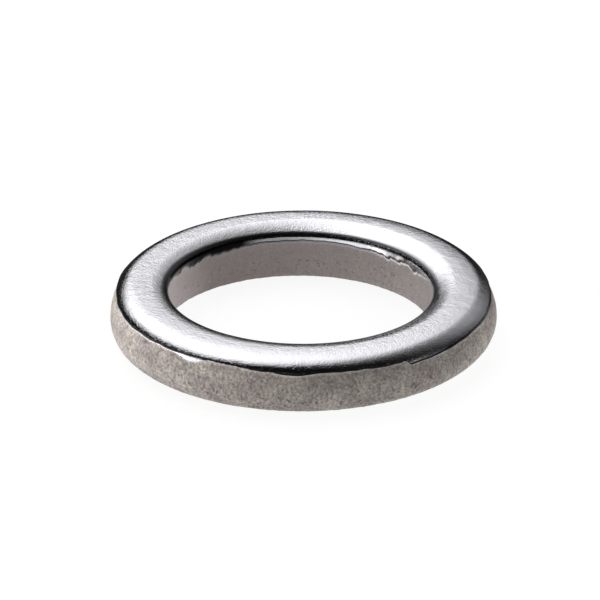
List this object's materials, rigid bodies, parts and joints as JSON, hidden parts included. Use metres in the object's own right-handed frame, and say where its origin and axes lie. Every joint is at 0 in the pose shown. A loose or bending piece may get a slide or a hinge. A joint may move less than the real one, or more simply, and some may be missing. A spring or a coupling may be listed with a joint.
{
  "type": "flat washer",
  "caption": "Thick flat washer with a small outside diameter, a plain round bore and rolled-over edges, in bright metal with dull sheared walls.",
  "frame": {"origin": "centre of the bore, on the plane of the bottom bearing face", "axes": "+Z along the bore axis, from the bottom face to the more rounded top face; X and Y are any two radial directions"},
  "size_m": [0.0244, 0.0244, 0.0035],
  "materials": {
    "washer_metal": "bright tumbled faces and rolled edges, dull grey-brown sheared walls"
  },
  "bodies": {
    "root": {"washer": "washer_metal"}
  },
  "joints": []
}
